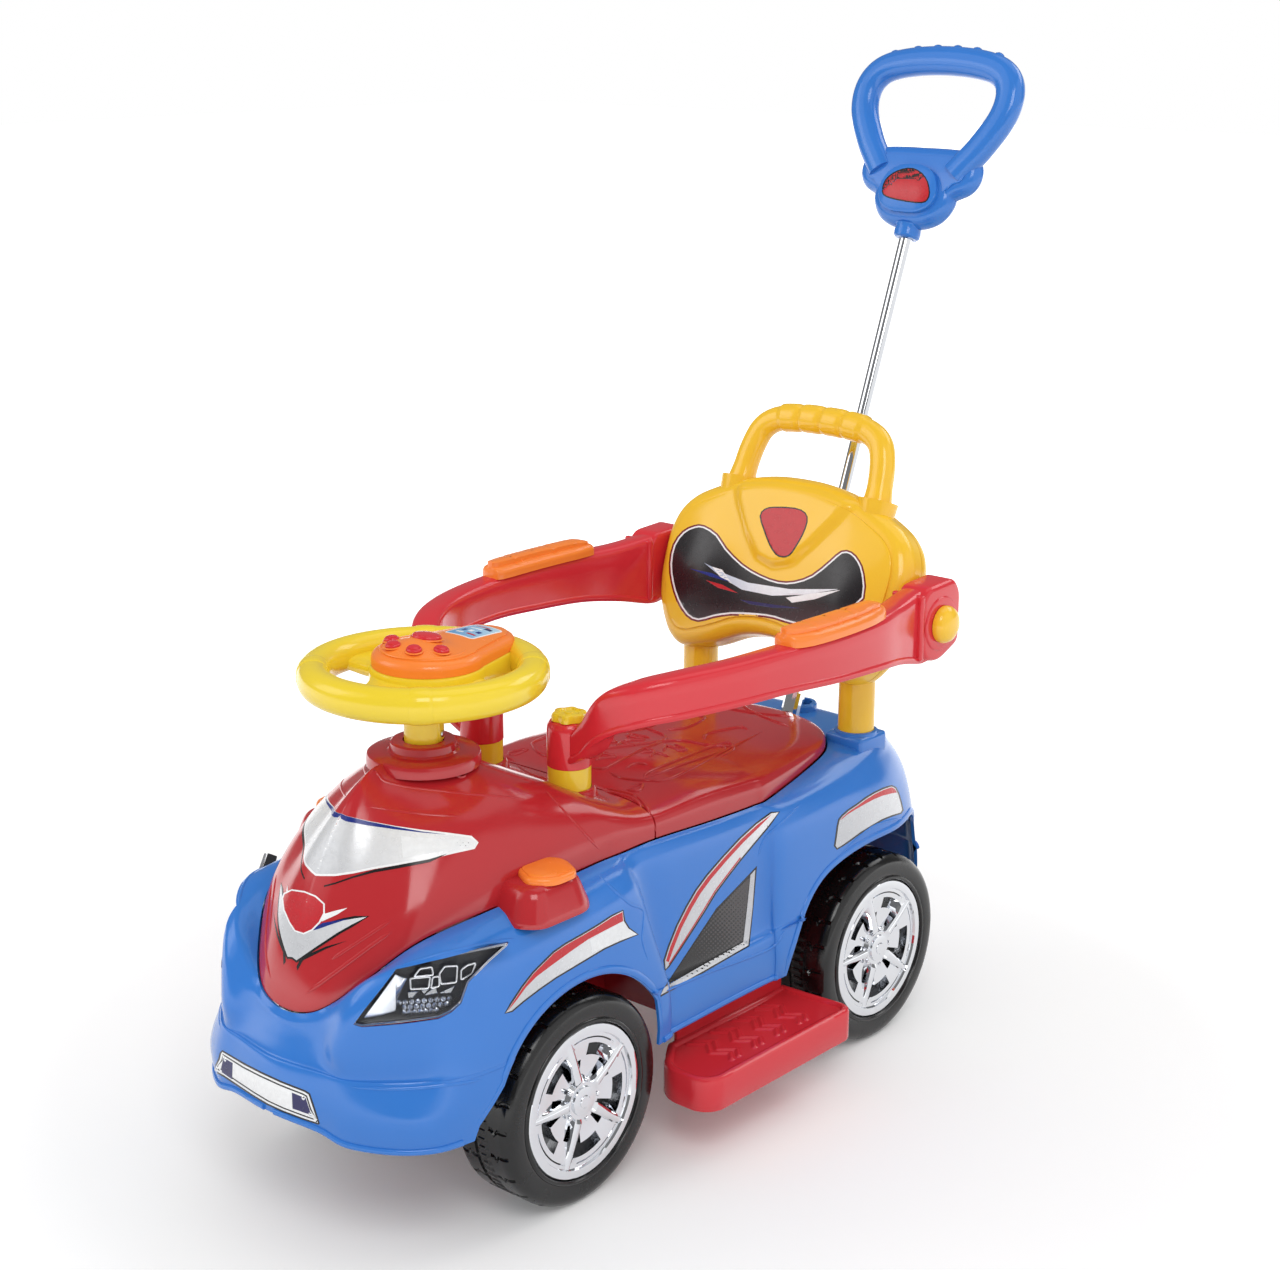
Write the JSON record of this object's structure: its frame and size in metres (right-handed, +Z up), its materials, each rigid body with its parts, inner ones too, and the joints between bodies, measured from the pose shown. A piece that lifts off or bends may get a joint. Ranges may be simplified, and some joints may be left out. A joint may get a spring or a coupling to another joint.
{
  "type": "push car with guard arms",
  "caption": "Child's ride-on push car with steering wheel and play console, guard arms, backrest, footrests and a leaning parent's push handle.",
  "frame": {"origin": "middle of the object's footprint, on the floor under the tyres", "axes": "+Z up, the bonnet and headlights towards -Y, the push handle towards +Y, +X to the left-hand side of a child who sits facing the bonnet"},
  "size_m": [0.359, 0.8507, 0.8585],
  "materials": {
    "blue_plastic": "glossy moulded blue",
    "red_plastic": "glossy moulded deep red",
    "bright_red_plastic": "satin moulded red",
    "yellow_plastic": "glossy moulded yellow",
    "lemon_plastic": "glossy moulded lemon yellow",
    "orange_plastic": "satin moulded orange",
    "tyre_plastic": "blow-moulded black with a soft gloss",
    "chrome_trim": "bright plating",
    "steel_rod": "plain drawn steel",
    "clear_lens": "clear moulded lens",
    "circuit_green": "printed circuit board",
    "black_plastic": "plain black moulding"
  },
  "bodies": {
    "body": {"body_shell": "blue_plastic", "bonnet": "red_plastic", "chassis_base": "red_plastic", "rear_axle": "steel_rod", "backrest_front": "yellow_plastic", "backrest_rear": "yellow_plastic", "pole_socket": "black_plastic", "footrest_left": "bright_red_plastic", "footrest_right": "bright_red_plastic", "headlight_reflector_left": "chrome_trim", "headlight_reflector_right": "chrome_trim", "headlight_lens_left": "clear_lens", "headlight_lens_right": "clear_lens", "indicator_left": "orange_plastic", "indicator_right": "orange_plastic", "front_post_left": "lemon_plastic", "front_post_right": "lemon_plastic", "pivot_cap_left": "yellow_plastic", "pivot_cap_right": "yellow_plastic", "backrest_post_left": "yellow_plastic", "backrest_post_right": "yellow_plastic"},
    "steering": {"steering_wheel": "lemon_plastic", "steering_column": "lemon_plastic", "steering_rod": "steel_rod", "console_housing": "orange_plastic", "circuit_board": "circuit_green", "speaker": "black_plastic", "battery_1": "steel_rod", "battery_2": "steel_rod", "front_axle_bracket": "black_plastic", "front_axle": "steel_rod"},
    "seat": {"seat_lid": "red_plastic"},
    "push_rod": {"push_pole": "chrome_trim", "push_handle_front": "blue_plastic", "push_handle_rear": "blue_plastic"},
    "horn": {"horn_button": "bright_red_plastic"},
    "tune_1": {"tune_button_1": "bright_red_plastic"},
    "tune_2": {"tune_button_2": "bright_red_plastic"},
    "tune_3": {"tune_button_3": "bright_red_plastic"},
    "tune_4": {"tune_button_4": "bright_red_plastic"},
    "wheel_front_left": {"tyre_front_left": "tyre_plastic", "hubcap_front_left": "chrome_trim"},
    "wheel_rear_left": {"tyre_rear_left": "tyre_plastic", "hubcap_rear_left": "chrome_trim"},
    "arm_left": {"guard_arm_left": "bright_red_plastic", "arm_pad_left": "orange_plastic"},
    "knob_left": {"lock_knob_left": "lemon_plastic"},
    "wheel_front_right": {"tyre_front_right": "tyre_plastic", "hubcap_front_right": "chrome_trim"},
    "wheel_rear_right": {"tyre_rear_right": "tyre_plastic", "hubcap_rear_right": "chrome_trim"},
    "arm_right": {"guard_arm_right": "bright_red_plastic", "arm_pad_right": "orange_plastic"},
    "knob_right": {"lock_knob_right": "lemon_plastic"}
  },
  "joints": [
    {"name": "steering_turn", "type": "hinge", "parent": "body", "child": "steering", "pos_m": [0, -0.2583, 0.2], "axis": [0, 0, 1], "range_deg": [-12, 12]},
    {"name": "seat_lid_tilt", "type": "hinge", "parent": "body", "child": "seat", "pos_m": [0, -0.1118, 0.2895], "axis": [1, 0, 0], "range_deg": [0, 10]},
    {"name": "push_pole_slide", "type": "slide", "parent": "body", "child": "push_rod", "axis": [0, 0.3584, 0.9336], "range_m": [0, 0.03]},
    {"name": "horn_press", "type": "slide", "parent": "steering", "child": "horn", "axis": [0, 0, -1], "range_m": [0, 0.0015], "stiffness_N_per_m": 200, "springref_m": -0.001},
    {"name": "tune_1_press", "type": "slide", "parent": "steering", "child": "tune_1", "axis": [0, 0, -1], "range_m": [0, 0.0015], "stiffness_N_per_m": 200, "springref_m": -0.001},
    {"name": "tune_2_press", "type": "slide", "parent": "steering", "child": "tune_2", "axis": [0, 0, -1], "range_m": [0, 0.0015], "stiffness_N_per_m": 200, "springref_m": -0.001},
    {"name": "tune_3_press", "type": "slide", "parent": "steering", "child": "tune_3", "axis": [0, 0, -1], "range_m": [0, 0.0015], "stiffness_N_per_m": 200, "springref_m": -0.001},
    {"name": "tune_4_press", "type": "slide", "parent": "steering", "child": "tune_4", "axis": [0, 0, -1], "range_m": [0, 0.0015], "stiffness_N_per_m": 200, "springref_m": -0.001},
    {"name": "wheel_spin_front_left", "type": "hinge", "parent": "steering", "child": "wheel_front_left", "pos_m": [-0.105, -0.2233, 0.085], "axis": [1, 0, 0], "continuous": true},
    {"name": "wheel_spin_rear_left", "type": "hinge", "parent": "body", "child": "wheel_rear_left", "pos_m": [-0.105, 0.1647, 0.085], "axis": [1, 0, 0], "continuous": true},
    {"name": "arm_swing_left", "type": "hinge", "parent": "body", "child": "arm_left", "pos_m": [-0.15, 0.1927, 0.384], "axis": [-1, 0, 0], "range_deg": [0, 75]},
    {"name": "knob_turn_left", "type": "hinge", "parent": "arm_left", "child": "knob_left", "pos_m": [-0.0484, -0.1473, 0.356], "axis": [0, 0, 1], "range_deg": [0, 90]},
    {"name": "wheel_spin_front_right", "type": "hinge", "parent": "steering", "child": "wheel_front_right", "pos_m": [0.105, -0.2233, 0.085], "axis": [1, 0, 0], "continuous": true},
    {"name": "wheel_spin_rear_right", "type": "hinge", "parent": "body", "child": "wheel_rear_right", "pos_m": [0.105, 0.1647, 0.085], "axis": [1, 0, 0], "continuous": true},
    {"name": "arm_swing_right", "type": "hinge", "parent": "body", "child": "arm_right", "pos_m": [0.15, 0.1927, 0.384], "axis": [-1, 0, 0], "range_deg": [0, 75]},
    {"name": "knob_turn_right", "type": "hinge", "parent": "arm_right", "child": "knob_right", "pos_m": [0.0484, -0.1473, 0.356], "axis": [0, 0, 1], "range_deg": [0, 90]}
  ]
}
